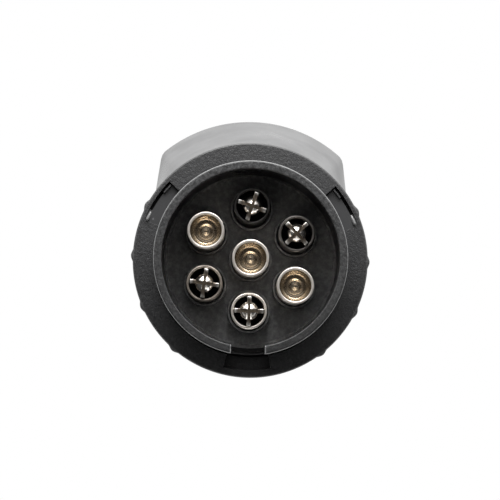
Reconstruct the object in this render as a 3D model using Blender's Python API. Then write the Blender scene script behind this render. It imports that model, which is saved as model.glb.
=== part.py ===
"""Trailer wiring adapter: a seven-pin plug at the front and a thirteen-pin socket with a sprung lid behind.

The connector's axis runs along Y. The plug nose points to -Y, the hinge of the lid is at the top (+Z), and
the origin is where the axis meets the collar's front face, which seats against the vehicle's socket.
Lengths in this file are millimetres; mesh_object turns them into metres.
"""

import math

import bmesh
import bpy
from mathutils import Matrix, Vector

MM = 0.001
GAP = 0.3

FINE = 44
MEDIUM = 40
ROUND = 16
SMALL = 8
BOSS_STEPS = 12
SMALL_PHASE = 0.37  # keeps the corners of small rounds off the corners of large ones
SHY = 0.01  # keeps the faces of joined blocks from lying in one plane
OVERRUN = 1.0  # how far a cutter reaches past the face that it opens

# Plug nose
NOSE_R = 22.15
NOSE_BORE_R = 20.25
NOSE_TIP_Y = -14.0
NOSE_FLOOR_Y = 5.0
NOSE_BACK_Y = 8.5
NOSE_FLANGE_R = 22.9
NOSE_FLANGE_Y = 3.5
RIM_CHAMFER = 0.5
KEYWAY_WIDTH = 7.7
KEYWAY_SKIN_R = 21.75
KEYWAY_MOUTH_END_Y = -0.2
KEYWAY_INNER_R = 19.05
KEYWAY_STEP = 0.05
BOSS_R = 5.1
BOSS_BORE_R = 4.7
BOSS_HEIGHT = 4.0
BOSS_ROOT = 1.0
NOSE_SCREW_DEPTH = 2.0
STEM_HOLE_R = 2.3

# Contacts of the plug
CONTACT_CIRCLE_R = 12.0
CONTACT_TIP_Y = -12.0
CONTACT_SEAT_Y = NOSE_FLOOR_Y - GAP
TUBE_R = 4.25
TUBE_MOUTH_R = 3.6
TUBE_BORE_R = 2.6
TUBE_STEP_DEPTH = 4.6
TUBE_BORE_DEPTH = 12.0
TUBE_EDGE = 0.2
TUBE_LEDGE = 0.4
TUBE_POINT = 0.6
PIN_R = 2.3
PIN_DOME = 1.6
PIN_SLOT = 0.5
PIN_SLOT_DEPTH = 4.0
PIN_SLOT_REACH = 1.85
SHOULDER = 1.5
SLEEVE_R = 4.15
SLEEVE_BORE_R = 3.65
SLEEVE_TIP_Y = -9.5
FIN_R = SLEEVE_BORE_R - GAP
FIN_REACH = FIN_R - 0.05
FIN_WIDTH = 0.9
FIN_TIP_Y = -8.0
STEM_R = 2.0
STEM_END_Y = 15.0
TUBE_PLACES = {"centre": None, "upper_left": 150.0, "lower_right": 330.0}
PIN_PLACES = {
    "top": (90.0, -18.0),
    "upper_right": (30.0, 45.0),
    "lower_left": (210.0, -7.0),
    "bottom": (270.0, 0.0),
}

# Front collar
COLLAR_R = 27.45
COLLAR_BORE_R = 22.5
COLLAR_SEAT_R = NOSE_FLANGE_R + GAP
COLLAR_SEAT_Y = 3.2
COLLAR_SKIRT_R = 25.5
COLLAR_PLATE = 6.0
COLLAR_LENGTH = 12.0
COLLAR_CHAMFER = 0.5
RIB_R = 27.95
RIB_WIDTH = 2.6
RIB_ROOT = 0.8
RIB_ANGLES = (26.5, 0.7, -25.1, -50.9, 153.5, 179.3, 205.1, 230.9)
RAMP_R = 25.9
RAMP_ANGLES = ((18.9, 42.6), (161.1, 137.4))
RAMP_DEPTH = (0.05, 5.2)
RAMP_STEPS = 6
WINDOW_R = 25.65
WINDOW_ANGLE = 270.0
WINDOW_HALF_ANGLE = 12.4

# Rear housing
HOUSING_START_Y = 14.1
HOUSING_R = 26.4
HOOD_END_Y = 56.0
HOUSING_END_Y = 60.0
SHIELD_R = 27.0
HOOD_APEX_Z = 38.0
HOOD_CORNER = (23.4, 29.0)
SHELL = 2.0
FRONT_RING = 2.2
FRONT_RING_BORE_R = 22.6
REAR_WALL = 2.5
BARREL_R = 21.4
BARREL_BORE_R = 18.5
BARREL_START_Y = 34.0
LEDGE_END_Y = 37.7
LEDGE_BORE_R = 15.0
GROOVE_R = 19.9
GROOVE_WIDTH = 4.4
GROOVE_START_Y = 51.0
GROOVE_ANGLES = (30.0, 150.0, 270.0)
HOOK_R = (23.2, 24.6)
HOOK_LIP_R = 25.4
HOOK_HALF_ANGLE = 8.5
HOOK_ANGLES = (30.0, 150.0, 270.0)
HOOK_TIP_Y = COLLAR_PLATE + 0.4
HOOK_LIP = (0.3, 1.6)
HOOK_LIP_INSET = 0.5
HOOK_ROOT = 0.8
GASKET_R = (25.4, 26.9)

# Thirteen-pin socket
INSERT_R = BARREL_BORE_R - GAP
INSERT_Y = (LEDGE_END_Y + GAP, 50.0)
SOCKET_HOLE_R = 2.2
SOCKET_CONTACT_R = 1.85
SOCKET_CONTACT_BORE_R = 1.3
SOCKET_CONTACT_RECESS = 0.8
SOCKET_CONTACT_BORE = 9.0
SOCKET_TAIL_Y = 34.0
SOCKET_TAIL_R = 1.0
OUTER_RING = (12.2, 9, 90.0)
INNER_RING = (5.6, 4, 45.0)
INSERT_SCREW_CIRCLE_R = 16.5
INSERT_SCREW_ANGLES = (70.0, 190.0, 310.0)
INSERT_SCREW_SEAT = 1.3
INSERT_CHAMFER = 0.5

# Retainer plate and screws
RETAINER_Y = (NOSE_BACK_Y + GAP, 11.0)
RETAINER_R = 19.6
RETAINER_SCREW_X = 17.2
SCREW_HEAD_R = 1.4
SCREW_HEAD_TOP_R = 0.84
SCREW_HEAD_LENGTH = 1.0
SCREW_HEAD_EDGE = 0.6
SCREW_SHANK_R = 0.8
SCREW_HOLE_R = SCREW_SHANK_R + GAP
SCREW_HOLE_DEPTH = 3.0
SCREW_END_GAP = 0.5

# Jumper wires
WIRE_R = 1.0
WIRE_POINTS = 7
WIRE_SIDES = 6

# Lid and hinge
HINGE_Y = 63.3
HINGE_Z = 31.8
KNUCKLE_R = 2.9
KNUCKLE_STEPS = 20
SPRING_SLOT_X = 4.3
SPRING_SLOT_Z = 27.4
EAR_X = (9.1, 12.7)
EAR_R = 3.2
EAR_ROOT_Y = 0.6
EAR_BELOW = 4.2
EAR_ABOVE = 2.6
PIN_HOLE_R = 1.55
HINGE_PIN_R = 1.2
HINGE_PIN_HEAD_R = 1.9
HINGE_PIN_HEAD = 1.0
LID_Y = (60.7, 66.0)
LID_R = 25.3
LID_CHAMFER = 1.2
LID_RECESS_R = 20.8
LID_RECESS = 2.8
LID_GROOVE_R = (21.3, 23.7)
LID_GROOVE = 1.3
LID_TONGUE_X = 8.7
LID_TONGUE_SPREAD = 21.0
LID_TONGUE_BACK = 0.6
LID_TAB_X = 6.0
LID_TAB_Z = -27.0
LID_TAB_ROOT_Z = -23.1
LID_TAB_Y = (62.2, 65.2)
LID_GASKET_R = (21.7, 23.3)
LID_GASKET_Y = (60.3, 61.7)
SPRING_COIL_R = 2.2
SPRING_WIRE_R = 0.35
SPRING_TURNS = 5
SPRING_STEPS = 8
SPRING_SIDES = 4
SPRING_HALF_LENGTH = 3.3
SPRING_LEG = 2.6


def clear_scene():
    for obj in list(bpy.data.objects):
        bpy.data.objects.remove(obj, do_unlink=True)


def material(name, colour, roughness, metallic=0.0):
    found = bpy.data.materials.get(name)
    if found:
        return found
    made = bpy.data.materials.new(name)
    made.use_nodes = True
    shader = made.node_tree.nodes["Principled BSDF"]
    shader.inputs["Base Color"].default_value = (*colour, 1.0)
    shader.inputs["Roughness"].default_value = roughness
    shader.inputs["Metallic"].default_value = metallic
    return made


def black_plastic():
    return material("black_plastic", (0.03, 0.03, 0.032), 0.5)


def insert_plastic():
    return material("insert_plastic", (0.025, 0.025, 0.027), 0.55)


def seal_rubber():
    return material("seal_rubber", (0.015, 0.015, 0.015), 0.8)


def nickel():
    return material("nickel", (0.72, 0.69, 0.64), 0.2, 1.0)


def brass():
    return material("brass", (0.78, 0.6, 0.3), 0.25, 1.0)


def steel():
    return material("steel", (0.6, 0.6, 0.6), 0.3, 1.0)


def wire_plastic():
    return material("wire_plastic", (0.35, 0.05, 0.04), 0.5)


def mesh_object(name, bm, finish=None, pivot=(0.0, 0.0, 0.0)):
    """One object from a mesh drawn in millimetres, with its origin at the pivot."""
    bmesh.ops.recalc_face_normals(bm, faces=bm.faces)
    offset = Vector(pivot)
    bmesh.ops.transform(bm, matrix=Matrix.Scale(MM, 4) @ Matrix.Translation(-offset), verts=bm.verts)
    mesh = bpy.data.meshes.new(name)
    bm.to_mesh(mesh)
    bm.free()
    mesh.shade_smooth()
    mesh.set_sharp_from_angle(angle=math.radians(35))
    obj = bpy.data.objects.new(name, mesh)
    obj.location = offset * MM
    bpy.context.scene.collection.objects.link(obj)
    if finish:
        mesh.materials.append(finish)
    return obj


def combine(target, tool, operation="DIFFERENCE"):
    """Cuts the tool from the target, or joins it on, with a Boolean modifier."""
    modifier = target.modifiers.new(tool.name, "BOOLEAN")
    modifier.operation = operation
    modifier.solver = "EXACT"
    modifier.object = tool
    tool.hide_render = True
    tool.display_type = "WIRE"


def polar(radius, degrees):
    angle = math.radians(degrees)
    return radius * math.cos(angle), radius * math.sin(angle)


def turn(bm, profile, segments, centre=(0.0, 0.0), axis="Y"):
    """Spins a closed outline of (radius, position) points about a line along the axis through the centre."""
    rings = []
    phase = 0.0 if segments == FINE else SMALL_PHASE
    for radius, position in profile:
        count = segments if radius > 0 else 1
        ring = []
        for i in range(count):
            u, v = polar(radius, 360 * (i + phase) / segments)
            u += centre[0]
            v += centre[1]
            ring.append(bm.verts.new((u, position, v) if axis == "Y" else (position, u, v)))
        rings.append(ring * (segments // count))
    for ring, following in zip(rings, rings[1:] + rings[:1]):
        for i in range(segments):
            j = (i + 1) % segments
            corners = list(dict.fromkeys((ring[i], ring[j], following[j], following[i])))
            if len(corners) > 2:
                bm.faces.new(corners)


def loft(bm, sections):
    """Joins sections of equal point counts into one closed skin with flat ends."""
    rings = [[bm.verts.new(point) for point in section] for section in sections]
    count = len(rings[0])
    for ring, following in zip(rings, rings[1:]):
        for i in range(count):
            j = (i + 1) % count
            bm.faces.new((ring[i], ring[j], following[j], following[i]))
    bm.faces.new(rings[0])
    bm.faces.new(rings[-1])


def block(bm, low, high):
    x0, y0, z0 = low
    x1, y1, z1 = high
    loft(bm, [[(x, y0, z0), (x, y1, z0), (x, y1, z1), (x, y0, z1)] for x in (x0, x1)])


def turned_object(name, profile, segments, finish=None, centre=(0.0, 0.0)):
    bm = bmesh.new()
    turn(bm, profile, segments, centre)
    return mesh_object(name, bm, finish)


def tube_profile(outer, inner, start, end):
    return [(inner, start), (outer, start), (outer, end), (inner, end)]


def rod_profile(radius, start, end):
    return tube_profile(radius, 0.0, start, end)


def arc_block(bm, inner, outer, middle, half_angle, start, end, steps=6):
    """A block bent round the Y axis between two radii."""
    angles = [middle - half_angle + 2 * half_angle * i / steps for i in range(steps + 1)]
    outline = [polar(outer, angle) for angle in angles]
    outline += [polar(inner, angle) for angle in reversed(angles)]
    loft(bm, [[(x, y, z) for x, z in outline] for y in (start, end)])


def contact_centre(degrees):
    return (0.0, 0.0) if degrees is None else polar(CONTACT_CIRCLE_R, degrees)


def plug_places():
    """The axes of the seven plug contacts, by name."""
    places = {name: contact_centre(angle) for name, angle in TUBE_PLACES.items()}
    places.update({name: contact_centre(angle) for name, (angle, _) in PIN_PLACES.items()})
    return places


def socket_places():
    """The axes of the thirteen socket contacts."""
    places = []
    for radius, count, first in (OUTER_RING, INNER_RING):
        places += [polar(radius, first + 360 * i / count) for i in range(count)]
    return places


def make_plug_nose():
    chamfer = RIM_CHAMFER
    nose = turned_object(
        "plug_nose",
        [
            (0.0, NOSE_FLOOR_Y),
            (NOSE_BORE_R, NOSE_FLOOR_Y),
            (NOSE_BORE_R, NOSE_TIP_Y),
            (NOSE_R - chamfer, NOSE_TIP_Y),
            (NOSE_R, NOSE_TIP_Y + chamfer),
            (NOSE_R, NOSE_FLANGE_Y),
            (NOSE_FLANGE_R, NOSE_FLANGE_Y),
            (NOSE_FLANGE_R, NOSE_BACK_Y),
            (0.0, NOSE_BACK_Y),
        ],
        FINE,
        black_plastic(),
    )
    bosses = bmesh.new()
    holes = bmesh.new()
    top = NOSE_FLOOR_Y - BOSS_HEIGHT
    for centre in plug_places().values():
        turn(bosses, tube_profile(BOSS_R, BOSS_BORE_R, top, NOSE_FLOOR_Y + BOSS_ROOT), BOSS_STEPS, centre)
        turn(holes, rod_profile(STEM_HOLE_R, NOSE_FLOOR_Y - OVERRUN, NOSE_BACK_Y + OVERRUN), SMALL, centre)
    for side in (-1, 1):
        turn(holes, rod_profile(SCREW_HOLE_R, NOSE_BACK_Y - NOSE_SCREW_DEPTH, NOSE_BACK_Y + OVERRUN),
             SMALL, (side * RETAINER_SCREW_X, 0.0))
    combine(nose, mesh_object("nose_bosses", bosses), "UNION")
    combine(nose, mesh_object("nose_holes", holes))
    keyway = bmesh.new()
    half = KEYWAY_WIDTH / 2
    block(keyway, (-half, NOSE_TIP_Y - OVERRUN, -NOSE_R - OVERRUN),
          (half, KEYWAY_MOUTH_END_Y, -KEYWAY_INNER_R))
    combine(nose, mesh_object("keyway_mouth", keyway))
    groove = bmesh.new()
    half -= KEYWAY_STEP
    block(groove, (-half, KEYWAY_MOUTH_END_Y - OVERRUN, -KEYWAY_SKIN_R),
          (half, NOSE_FLOOR_Y - KEYWAY_STEP, -KEYWAY_INNER_R + KEYWAY_STEP))
    combine(nose, mesh_object("keyway_groove", groove))


def tube_contact_profile():
    tip = CONTACT_TIP_Y
    step = tip + TUBE_STEP_DEPTH
    bottom = tip + TUBE_BORE_DEPTH
    return [
        (0.0, bottom + TUBE_POINT),
        (TUBE_BORE_R, bottom),
        (TUBE_BORE_R, step + TUBE_LEDGE),
        (TUBE_MOUTH_R - TUBE_LEDGE, step),
        (TUBE_MOUTH_R, step - TUBE_LEDGE),
        (TUBE_MOUTH_R, tip + TUBE_EDGE),
        (TUBE_MOUTH_R + TUBE_EDGE, tip),
        (TUBE_R - TUBE_EDGE, tip),
        (TUBE_R, tip + TUBE_EDGE),
        (TUBE_R, CONTACT_SEAT_Y),
        (STEM_R, CONTACT_SEAT_Y),
        (STEM_R, STEM_END_Y),
        (0.0, STEM_END_Y),
    ]


def pin_contact_profile():
    """A domed pin on a shoulder, with a stem through the floor."""
    profile = [(0.0, CONTACT_TIP_Y)]
    for degrees in (30, 60, 90):
        u, v = polar(1.0, degrees)
        profile.append((PIN_R * v, CONTACT_TIP_Y + PIN_DOME * (1 - u)))
    profile += [
        (PIN_R, CONTACT_SEAT_Y - SHOULDER),
        (FIN_R, CONTACT_SEAT_Y - SHOULDER),
        (FIN_R, CONTACT_SEAT_Y),
        (STEM_R, CONTACT_SEAT_Y),
        (STEM_R, STEM_END_Y),
        (0.0, STEM_END_Y),
    ]
    return profile


def cross(name, centre, degrees, reach, width, start, end):
    """Two crossed blades about an axis along Y, as a tool."""
    bm = bmesh.new()
    block(bm, (-reach, start, -width / 2), (reach, end, width / 2))
    tool = mesh_object(name, bm)
    other = bmesh.new()
    block(other, (-width / 2, start, -reach), (width / 2, end, reach))
    combine(tool, mesh_object(name + "_b", other), "UNION")
    for obj in (tool, bpy.data.objects[name + "_b"]):
        obj.rotation_euler = (0.0, -math.radians(degrees), 0.0)
        obj.location = (centre[0] * MM, 0.0, centre[1] * MM)
    return tool


def make_plug_contacts():
    for name, angle in TUBE_PLACES.items():
        turned_object("tube_contact_" + name, tube_contact_profile(), ROUND, brass(), contact_centre(angle))
    for name, (angle, twist) in PIN_PLACES.items():
        centre = contact_centre(angle)
        pin = turned_object("pin_contact_" + name, pin_contact_profile(), ROUND, nickel(), centre)
        fins = cross("fins_" + name, centre, twist, FIN_REACH, FIN_WIDTH,
                     FIN_TIP_Y, CONTACT_SEAT_Y - SHOULDER / 2)
        slots = cross("slots_" + name, centre, twist, PIN_SLOT_REACH, PIN_SLOT,
                      CONTACT_TIP_Y - OVERRUN, CONTACT_TIP_Y + PIN_SLOT_DEPTH)
        combine(pin, fins, "UNION")
        combine(pin, slots)
        sleeve = tube_profile(SLEEVE_R, SLEEVE_BORE_R, SLEEVE_TIP_Y, CONTACT_SEAT_Y)
        turned_object("pin_sleeve_" + name, sleeve, ROUND, nickel(), centre)


def make_front_collar():
    chamfer = COLLAR_CHAMFER
    collar = turned_object(
        "front_collar",
        [
            (COLLAR_BORE_R, 0.0),
            (COLLAR_R - chamfer, 0.0),
            (COLLAR_R, chamfer),
            (COLLAR_R, COLLAR_LENGTH),
            (COLLAR_SKIRT_R, COLLAR_LENGTH),
            (COLLAR_SKIRT_R, COLLAR_PLATE),
            (COLLAR_SEAT_R, COLLAR_PLATE),
            (COLLAR_SEAT_R, COLLAR_SEAT_Y),
            (COLLAR_BORE_R, COLLAR_SEAT_Y),
        ],
        FINE,
        black_plastic(),
    )
    ribs = bmesh.new()
    half = math.degrees(RIB_WIDTH / 2 / COLLAR_R)
    for angle in RIB_ANGLES:
        arc_block(ribs, COLLAR_R - RIB_ROOT, RIB_R, angle, half, chamfer, COLLAR_LENGTH - chamfer, 2)
    combine(collar, mesh_object("collar_ribs", ribs), "UNION")
    for number, (shallow, deep) in enumerate(RAMP_ANGLES):
        ramp = bmesh.new()
        sections = []
        for i in range(RAMP_STEPS + 1):
            share = i / RAMP_STEPS
            angle = shallow + (deep - shallow) * share
            depth = RAMP_DEPTH[0] + (RAMP_DEPTH[1] - RAMP_DEPTH[0]) * share
            inner = polar(COLLAR_BORE_R - OVERRUN, angle)
            outer = polar(RAMP_R, angle)
            corners = ((inner, -OVERRUN), (outer, -OVERRUN), (outer, depth), (inner, depth))
            sections.append([(x, y, z) for (x, z), y in corners])
        loft(ramp, sections)
        combine(collar, mesh_object(f"collar_ramp_{number}", ramp))
    window = bmesh.new()
    arc_block(window, COLLAR_BORE_R - OVERRUN, WINDOW_R, WINDOW_ANGLE, WINDOW_HALF_ANGLE, -OVERRUN,
              COLLAR_PLATE + OVERRUN)
    combine(collar, mesh_object("collar_window", window))


def shield_angles():
    """Angles at which every section of the housing has a point: round below, straight flanks, arched top."""
    corner = math.degrees(math.atan2(HOOD_CORNER[1], HOOD_CORNER[0]))
    tangent = corner - math.degrees(math.acos(SHIELD_R / math.hypot(*HOOD_CORNER)))
    angles = [corner + (180 - 2 * corner) * i / 10 for i in range(11)]
    angles += [180 - corner + (corner - tangent) * (i + 1) / 4 for i in range(4)]
    below = 180 + 2 * tangent
    angles += [180 - tangent + below * (i + 1) / 30 for i in range(30)]
    angles += [tangent + 360 + (corner - tangent) * (i + 1) / 4 for i in range(3)]
    return angles


def shield_radius(degrees):
    """Distance from the axis to the housing's rear outline, at an angle from +X towards +Z."""
    corner_x, corner_z = HOOD_CORNER
    corner = math.atan2(corner_z, corner_x)
    drop = HOOD_APEX_Z - corner_z
    arch_r = (corner_x ** 2 + drop ** 2) / (2 * drop)
    arch_z = HOOD_APEX_Z - arch_r
    angle = math.radians(degrees % 360)
    folded = angle if angle <= math.pi / 2 or angle >= 1.5 * math.pi else math.pi - angle
    tangent = corner - math.acos(SHIELD_R / math.hypot(corner_x, corner_z))
    if corner - 1e-6 <= folded <= math.pi / 2 + 1e-6:
        return arch_z * math.sin(angle) + math.sqrt(arch_r ** 2 - (arch_z * math.cos(angle)) ** 2)
    if tangent < folded < corner:
        return SHIELD_R / math.cos(folded - tangent)
    return SHIELD_R


def housing_section(y, inset=0.0):
    """A cross-section of the housing, which grows from a circle in front to the shield behind."""
    share = min(1.0, max(0.0, (y - HOUSING_START_Y) / (HOOD_END_Y - HOUSING_START_Y)))
    section = []
    for degrees in shield_angles():
        radius = HOUSING_R + (shield_radius(degrees) - HOUSING_R) * share - inset
        x, z = polar(radius, degrees)
        section.append((x, y, z))
    return section


def make_rear_housing():
    shell = bmesh.new()
    loft(shell, [housing_section(y) for y in (HOUSING_START_Y, HOOD_END_Y, HOUSING_END_Y)])
    housing = mesh_object("rear_housing", shell, black_plastic())

    hollow = bmesh.new()
    stops = (HOUSING_START_Y + FRONT_RING, HOOD_END_Y, HOUSING_END_Y - REAR_WALL)
    loft(hollow, [housing_section(y, SHELL) for y in stops])
    hollow = mesh_object("housing_hollow", hollow)
    barrel = turned_object("barrel_core", rod_profile(BARREL_R, BARREL_START_Y, HOUSING_END_Y), FINE)
    combine(hollow, barrel)
    combine(housing, hollow)

    bore = turned_object(
        "housing_bore",
        [
            (0.0, HOUSING_START_Y - OVERRUN),
            (FRONT_RING_BORE_R, HOUSING_START_Y - OVERRUN),
            (FRONT_RING_BORE_R, HOUSING_START_Y + FRONT_RING + OVERRUN),
            (LEDGE_BORE_R, HOUSING_START_Y + FRONT_RING + OVERRUN),
            (LEDGE_BORE_R, LEDGE_END_Y),
            (BARREL_BORE_R, LEDGE_END_Y),
            (BARREL_BORE_R, HOUSING_END_Y + OVERRUN),
            (0.0, HOUSING_END_Y + OVERRUN),
        ],
        FINE,
    )
    combine(housing, bore)

    grooves = bmesh.new()
    half = math.degrees(GROOVE_WIDTH / 2 / GROOVE_R)
    for angle in GROOVE_ANGLES:
        arc_block(grooves, BARREL_BORE_R - OVERRUN, GROOVE_R, angle, half, GROOVE_START_Y,
                  HOUSING_END_Y + OVERRUN, 2)
    for angle in INSERT_SCREW_ANGLES:
        turn(grooves, rod_profile(SCREW_HOLE_R, LEDGE_END_Y - SCREW_HOLE_DEPTH, LEDGE_END_Y + OVERRUN),
             SMALL, polar(INSERT_SCREW_CIRCLE_R, angle))
    combine(housing, mesh_object("housing_grooves", grooves))

    hooks = bmesh.new()
    inner, outer = HOOK_R
    for angle in HOOK_ANGLES:
        arc_block(hooks, inner, outer, angle, HOOK_HALF_ANGLE, HOOK_TIP_Y, HOUSING_START_Y + HOOK_ROOT, 4)
    combine(housing, mesh_object("snap_arms", hooks), "UNION")
    lips = bmesh.new()
    for angle in HOOK_ANGLES:
        arc_block(lips, (inner + outer) / 2, HOOK_LIP_R, angle, HOOK_HALF_ANGLE - HOOK_LIP_INSET,
                  HOOK_TIP_Y + HOOK_LIP[0], HOOK_TIP_Y + HOOK_LIP[1], 4)
    combine(housing, mesh_object("snap_lips", lips), "UNION")

    ears = bmesh.new()
    root = HOUSING_END_Y - EAR_ROOT_Y
    outline = [(root, HINGE_Z - EAR_BELOW), (root, HINGE_Z + EAR_ABOVE)]
    for degrees in range(0, 121, 20):
        u, v = polar(EAR_R, degrees)
        outline.append((HINGE_Y + v, HINGE_Z + u))
    for side in (-1, 1):
        loft(ears, [[(side * x, y, z) for y, z in outline] for x in EAR_X])
    combine(housing, mesh_object("hinge_ears", ears), "UNION")
    pin_hole = bmesh.new()
    reach = EAR_X[1] + OVERRUN
    turn(pin_hole, rod_profile(PIN_HOLE_R, -reach, reach), SMALL, (HINGE_Y, HINGE_Z), "X")
    combine(housing, mesh_object("ear_bore", pin_hole))


def make_seals():
    inner, outer = GASKET_R
    turned_object("body_gasket", tube_profile(outer, inner, COLLAR_LENGTH + GAP, HOUSING_START_Y - GAP),
                  FINE, seal_rubber())


def make_retainer():
    plate = turned_object("contact_retainer", rod_profile(RETAINER_R, *RETAINER_Y), MEDIUM, insert_plastic())
    holes = bmesh.new()
    start = RETAINER_Y[0] - OVERRUN
    end = RETAINER_Y[1] + OVERRUN
    for centre in plug_places().values():
        turn(holes, rod_profile(STEM_HOLE_R, start, end), SMALL, centre)
    for side in (-1, 1):
        turn(holes, rod_profile(SCREW_HOLE_R, start, end), SMALL, (side * RETAINER_SCREW_X, 0.0))
    combine(plate, mesh_object("retainer_holes", holes))


def make_screw(name, centre, seat_y, tip_y):
    """A pan-head screw whose head sits on the seat and whose shank points to -Y."""
    head = seat_y + GAP
    turned_object(name, [(0.0, tip_y), (SCREW_SHANK_R, tip_y), (SCREW_SHANK_R, head), (SCREW_HEAD_R, head),
                         (SCREW_HEAD_R, head + SCREW_HEAD_EDGE), (SCREW_HEAD_TOP_R, head + SCREW_HEAD_LENGTH),
                         (0.0, head + SCREW_HEAD_LENGTH)],
                  SMALL, steel(), centre)


def make_screws():
    for side, name in ((-1, "left"), (1, "right")):
        make_screw("retainer_screw_" + name, (side * RETAINER_SCREW_X, 0.0), RETAINER_Y[1],
                   NOSE_BACK_Y - NOSE_SCREW_DEPTH + SCREW_END_GAP)
    for number, angle in enumerate(INSERT_SCREW_ANGLES, 1):
        make_screw(f"insert_screw_{number}", polar(INSERT_SCREW_CIRCLE_R, angle),
                   INSERT_Y[1] - INSERT_SCREW_SEAT, LEDGE_END_Y - SCREW_HOLE_DEPTH + SCREW_END_GAP)


def make_socket():
    start, end = INSERT_Y
    insert = turned_object(
        "socket_insert",
        [
            (0.0, start),
            (INSERT_R, start),
            (INSERT_R, end - INSERT_CHAMFER),
            (INSERT_R - INSERT_CHAMFER, end),
            (0.0, end),
        ],
        MEDIUM,
        insert_plastic(),
    )
    holes = bmesh.new()
    for centre in socket_places():
        turn(holes, rod_profile(SOCKET_HOLE_R, start - OVERRUN, end + OVERRUN), SMALL, centre)
    seat = end - INSERT_SCREW_SEAT
    for angle in INSERT_SCREW_ANGLES:
        turn(holes, [(0.0, start - OVERRUN), (SCREW_HOLE_R, start - OVERRUN), (SCREW_HOLE_R, seat),
                     (SCREW_HEAD_R + GAP, seat), (SCREW_HEAD_R + GAP, end + OVERRUN), (0.0, end + OVERRUN)],
             SMALL, polar(INSERT_SCREW_CIRCLE_R, angle))
    combine(insert, mesh_object("insert_holes", holes))
    tip = end - SOCKET_CONTACT_RECESS
    for number, centre in enumerate(socket_places(), 1):
        turned_object(
            f"socket_contact_{number:02d}",
            [
                (0.0, SOCKET_TAIL_Y),
                (SOCKET_TAIL_R, SOCKET_TAIL_Y),
                (SOCKET_TAIL_R, start),
                (SOCKET_CONTACT_R, start),
                (SOCKET_CONTACT_R, tip),
                (SOCKET_CONTACT_BORE_R, tip),
                (SOCKET_CONTACT_BORE_R, tip - SOCKET_CONTACT_BORE),
                (0.0, tip - SOCKET_CONTACT_BORE),
            ],
            SMALL,
            brass(),
            centre,
        )


def swept_tube(bm, points, radius, sides):
    """A closed tube of round section along a row of points."""
    path = [Vector(point) for point in points]
    sections = []
    side = (path[1] - path[0]).orthogonal()
    for i, point in enumerate(path):
        along = (path[min(i + 1, len(path) - 1)] - path[max(i - 1, 0)]).normalized()
        side = (side - along * side.dot(along)).normalized()
        up = along.cross(side)
        section = []
        for k in range(sides):
            u, v = polar(radius, 360 * k / sides)
            section.append(point + side * u + up * v)
        sections.append(section)
    loft(bm, sections)


def make_jumper_wires():
    """One wire from each plug contact to the socket contact nearest to it."""
    targets = socket_places()
    for name, (x, z) in plug_places().items():
        target = min(targets, key=lambda place: math.hypot(place[0] - x, place[1] - z))
        targets.remove(target)
        start = Vector((x, STEM_END_Y + GAP, z))
        end = Vector((target[0], SOCKET_TAIL_Y - GAP, target[1]))
        points = []
        for i in range(WIRE_POINTS):
            share = i / (WIRE_POINTS - 1)
            blend = share * share * (3 - 2 * share)
            across = start.lerp(end, blend)
            points.append((across.x, start.y + (end.y - start.y) * share, across.z))
        bm = bmesh.new()
        swept_tube(bm, points, WIRE_R, WIRE_SIDES)
        mesh_object("jumper_wire_" + name, bm, wire_plastic())


def make_lid():
    inner, outer = LID_Y
    pivot = (0.0, HINGE_Y, HINGE_Z)
    disc = bmesh.new()
    turn(
        disc,
        [
            (0.0, inner + LID_RECESS),
            (LID_RECESS_R, inner + LID_RECESS),
            (LID_RECESS_R, inner),
            (LID_GROOVE_R[0], inner),
            (LID_GROOVE_R[0], inner + LID_GROOVE),
            (LID_GROOVE_R[1], inner + LID_GROOVE),
            (LID_GROOVE_R[1], inner),
            (LID_R, inner),
            (LID_R, outer - LID_CHAMFER),
            (LID_R - LID_CHAMFER, outer),
            (0.0, outer),
        ],
        FINE,
    )
    lid = mesh_object("lid", disc, black_plastic(), pivot)
    tongue = bmesh.new()
    shares = (1.0, 0.5, 0.0, -0.5, -1.0)
    outline = [polar(LID_R - LID_CHAMFER, 90 + share * LID_TONGUE_SPREAD) for share in shares]
    outline += [(LID_TONGUE_X, HINGE_Z), (-LID_TONGUE_X, HINGE_Z)]
    loft(tongue, [[(x, y, z) for x, z in outline] for y in (inner + SHY, outer - LID_TONGUE_BACK)])
    combine(lid, mesh_object("lid_tongue", tongue, pivot=pivot), "UNION")
    tab = bmesh.new()
    block(tab, (-LID_TAB_X, LID_TAB_Y[0], LID_TAB_Z), (LID_TAB_X, LID_TAB_Y[1], LID_TAB_ROOT_Z))
    combine(lid, mesh_object("lid_tab", tab, pivot=pivot), "UNION")
    knuckle = bmesh.new()
    wide = LID_TONGUE_X - SHY
    turn(knuckle, rod_profile(KNUCKLE_R, -wide, wide), KNUCKLE_STEPS, (HINGE_Y, HINGE_Z), "X")
    combine(lid, mesh_object("lid_knuckle", knuckle, pivot=pivot), "UNION")
    slot = bmesh.new()
    block(slot, (-SPRING_SLOT_X, inner - OVERRUN, SPRING_SLOT_Z),
          (SPRING_SLOT_X, HINGE_Y + KNUCKLE_R + OVERRUN, HINGE_Z + KNUCKLE_R + OVERRUN))
    combine(lid, mesh_object("spring_slot", slot, pivot=pivot))
    bore = bmesh.new()
    turn(bore, rod_profile(PIN_HOLE_R, -EAR_X[1], EAR_X[1]), SMALL, (HINGE_Y, HINGE_Z), "X")
    combine(lid, mesh_object("knuckle_bore", bore, pivot=pivot))

    gasket = bmesh.new()
    turn(gasket, tube_profile(LID_GASKET_R[1], LID_GASKET_R[0], *LID_GASKET_Y), FINE)
    mesh_object("lid_gasket", gasket, seal_rubber(), pivot)


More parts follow.
